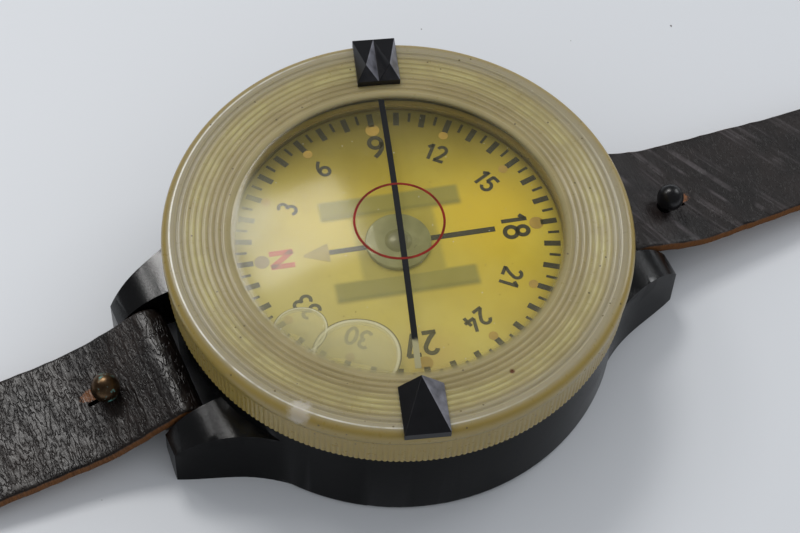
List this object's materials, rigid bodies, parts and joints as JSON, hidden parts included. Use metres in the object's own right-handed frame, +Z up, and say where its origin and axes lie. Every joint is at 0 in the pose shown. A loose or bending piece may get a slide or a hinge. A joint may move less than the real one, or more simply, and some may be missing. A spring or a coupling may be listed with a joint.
{
  "type": "wrist compass",
  "caption": "Liquid wrist compass for air crew: black round case with strap lugs, clear knurled bezel with sights, floating card and a leather strap with buckle.",
  "frame": {"origin": "centre of the case's flat underside", "axes": "+Z up along the bezel's turning axis, +X along the strap towards its holed end"},
  "size_m": [0.2644, 0.0584, 0.0227],
  "materials": {
    "bakelite": "glossy moulded",
    "clear_bezel": "yellowed clear acrylic",
    "card_yellow": "translucent yellow",
    "hub_plastic": "matt",
    "black_paint": "inlaid black paint",
    "red_paint": "inlaid red paint",
    "luminous_paint": "aged luminous paint",
    "steel": "bright turned",
    "magnet_steel": "lacquered",
    "brass": "aged",
    "stud_black": "black lacquer",
    "jewel": "polished",
    "rubber": "matt",
    "felt": "felt",
    "strap_leather": "dark brown, raw orange edges",
    "buckle_steel": "worn nickel plate"
  },
  "bodies": {
    "case": {"case": "bakelite", "strap_bar_left": "steel", "strap_bar_right": "steel", "retaining_ring": "steel", "friction_washer": "felt"},
    "bezel": {"bezel_dome": "clear_bezel", "course_line": "black_paint", "level_ring": "red_paint", "front_sight": "bakelite", "rear_sight": "bakelite", "sight_pins": "steel", "capsule_gasket": "rubber", "capsule_base": "clear_bezel", "filler_plug": "brass", "expansion_diaphragm": "brass", "clamp_ring": "brass", "pivot_post": "brass", "pivot_needle": "steel"},
    "card": {"card_hub": "hub_plastic", "jewel_cup": "jewel", "compass_card": "card_yellow", "magnet_carrier": "brass", "magnet_bars": "magnet_steel", "luminous_dots": "luminous_paint", "north_arrow": "luminous_paint"},
    "strap_left": {"strap_left": "strap_leather", "stud_left": "brass", "stud_screw_left": "brass", "strap_keeper": "strap_leather"},
    "buckle": {"buckle_frame": "buckle_steel", "buckle_bar": "buckle_steel"},
    "prong": {"buckle_prong": "buckle_steel"},
    "strap_right": {"strap_right": "strap_leather", "stud_right": "stud_black", "stud_screw_right": "brass"}
  },
  "joints": [
    {"name": "bezel_turn", "type": "hinge", "parent": "case", "child": "bezel", "pos_m": [0, 0, 0.0145], "axis": [0, 0, 1], "continuous": true},
    {"name": "card_turn", "type": "hinge", "parent": "bezel", "child": "card", "pos_m": [0, 0, 0.0168], "axis": [0, 0, 1], "continuous": true},
    {"name": "strap_left_swing", "type": "hinge", "parent": "case", "child": "strap_left", "pos_m": [-0.0315, 0, 0.0062], "axis": [0, 1, 0], "range_deg": [-62, 48]},
    {"name": "strap_right_swing", "type": "hinge", "parent": "case", "child": "strap_right", "pos_m": [0.0315, 0, 0.0062], "axis": [0, -1, 0], "range_deg": [-63, 55]},
    {"name": "buckle_swing", "type": "hinge", "parent": "strap_left", "child": "buckle", "pos_m": [-0.106, 0, 0.0037], "axis": [0, 1, 0], "range_deg": [-60, 75]},
    {"name": "prong_swing", "type": "hinge", "parent": "buckle", "child": "prong", "pos_m": [-0.106, 0, 0.0037], "axis": [0, 1, 0], "range_deg": [0, 70]}
  ]
}
